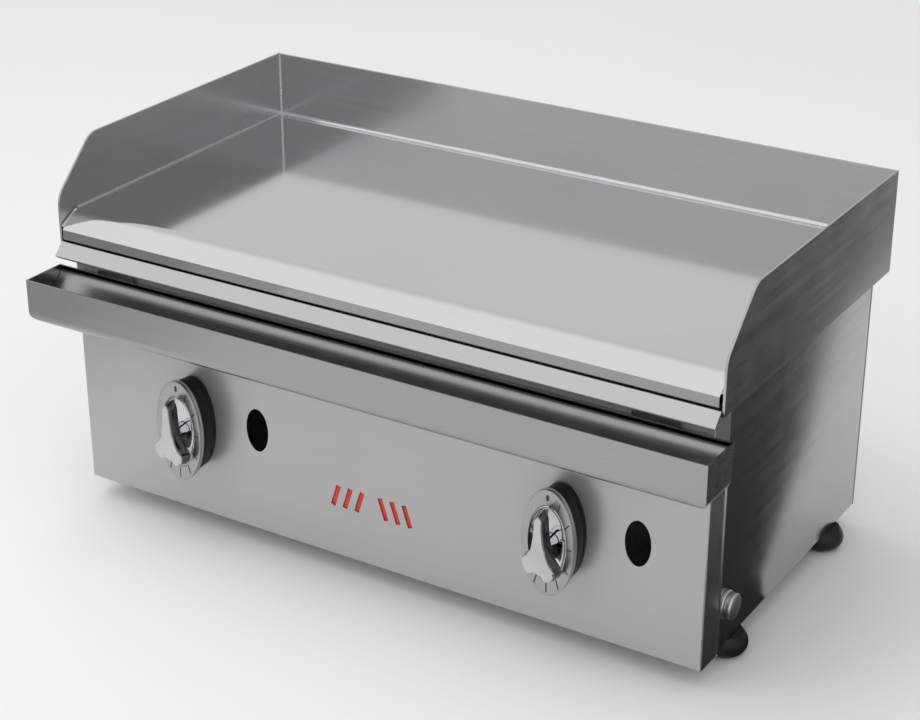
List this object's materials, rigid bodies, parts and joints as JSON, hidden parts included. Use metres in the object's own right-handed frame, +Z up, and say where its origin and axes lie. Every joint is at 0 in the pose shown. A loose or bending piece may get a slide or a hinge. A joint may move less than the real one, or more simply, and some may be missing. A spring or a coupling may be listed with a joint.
{
  "type": "flat top griddle",
  "caption": "Countertop gas griddle: a polished plate with a three-sided splash guard over a steel cabinet with burners, knobs on oval dials, sight holes and a removable grease tray.",
  "frame": {"origin": "middle of the footprint, on the surface the feet stand on", "axes": "+Z up, -Y towards the cook (front panel), +X to the right as seen from the front"},
  "size_m": [0.818, 0.46, 0.425],
  "materials": {
    "cabinet_steel": "satin",
    "guard_steel": "satin",
    "tray_steel": "satin",
    "polished_plate": "polished",
    "chrome": "polished",
    "dial_metal": "satin",
    "black_plastic": "satin",
    "dark_gloss": "gloss",
    "red_enamel": "satin",
    "galvanised": "galvanised",
    "screw_steel": "bright",
    "brass": "satin",
    "copper_tube": "satin copper",
    "burner_steel": "heat-darkened",
    "rubber": "matte"
  },
  "bodies": {
    "root": {"base_pan": "galvanised", "drip_apron": "tray_steel", "front_burner_rail": "galvanised", "front_panel": "cabinet_steel", "gas_inlet_nipple": "brass", "gas_manifold": "galvanised", "griddle_plate": "polished_plate", "left_burner": "burner_steel", "left_dial_bowl": "dark_gloss", "left_dial_housing": "black_plastic", "left_dial_ring": "dial_metal", "left_feed_tube": "copper_tube", "left_front_foot": "rubber", "left_front_foot_bolt": "screw_steel", "left_gas_riser": "galvanised", "left_gas_valve": "brass", "left_injector": "brass", "left_manifold_saddle": "galvanised", "left_pilot": "burner_steel", "left_pilot_bracket": "galvanised", "left_rear_foot": "rubber", "left_rear_foot_bolt": "screw_steel", "left_side_panel": "cabinet_steel", "left_splash_wall": "guard_steel", "left_thermocouple": "copper_tube", "left_tray_support": "cabinet_steel", "manifold_plug": "chrome", "ornament_backing_plate": "red_enamel", "rear_burner_rail": "galvanised", "rear_panel": "cabinet_steel", "rear_splash_wall": "guard_steel", "right_burner": "burner_steel", "right_dial_bowl": "dark_gloss", "right_dial_housing": "black_plastic", "right_dial_ring": "dial_metal", "right_feed_tube": "copper_tube", "right_front_foot": "rubber", "right_front_foot_bolt": "screw_steel", "right_gas_riser": "galvanised", "right_gas_valve": "brass", "right_injector": "brass", "right_manifold_saddle": "galvanised", "right_pilot": "burner_steel", "right_pilot_bracket": "galvanised", "right_rear_foot": "rubber", "right_rear_foot_bolt": "screw_steel", "right_side_panel": "cabinet_steel", "right_splash_wall": "guard_steel", "right_thermocouple": "copper_tube", "right_tray_support": "cabinet_steel", "valve_heat_shield": "galvanised"},
    "left_rotor": {"left_valve_rotor": "brass"},
    "left_knob": {"left_knob_grip": "chrome", "left_valve_spindle": "screw_steel"},
    "right_rotor": {"right_valve_rotor": "brass"},
    "right_knob": {"right_knob_grip": "chrome", "right_valve_spindle": "screw_steel"},
    "tray": {"grease_tray": "tray_steel"}
  },
  "joints": [
    {"name": "left_knob_turn", "type": "hinge", "parent": "root", "child": "left_rotor", "pos_m": [-0.23, -0.172, 0.138], "axis": [0, -1, 0], "range_deg": [0, 210]},
    {"name": "left_knob_push", "type": "slide", "parent": "left_rotor", "child": "left_knob", "axis": [0, 1, 0], "range_m": [0, 0.004], "stiffness_N_per_m": 600},
    {"name": "right_knob_turn", "type": "hinge", "parent": "root", "child": "right_rotor", "pos_m": [0.23, -0.172, 0.138], "axis": [0, -1, 0], "range_deg": [0, 210]},
    {"name": "right_knob_push", "type": "slide", "parent": "right_rotor", "child": "right_knob", "axis": [0, 1, 0], "range_m": [0, 0.004], "stiffness_N_per_m": 600},
    {"name": "grease_tray_slide", "type": "slide", "parent": "root", "child": "tray", "axis": [0, -1, 0], "range_m": [0, 0.12]}
  ]
}
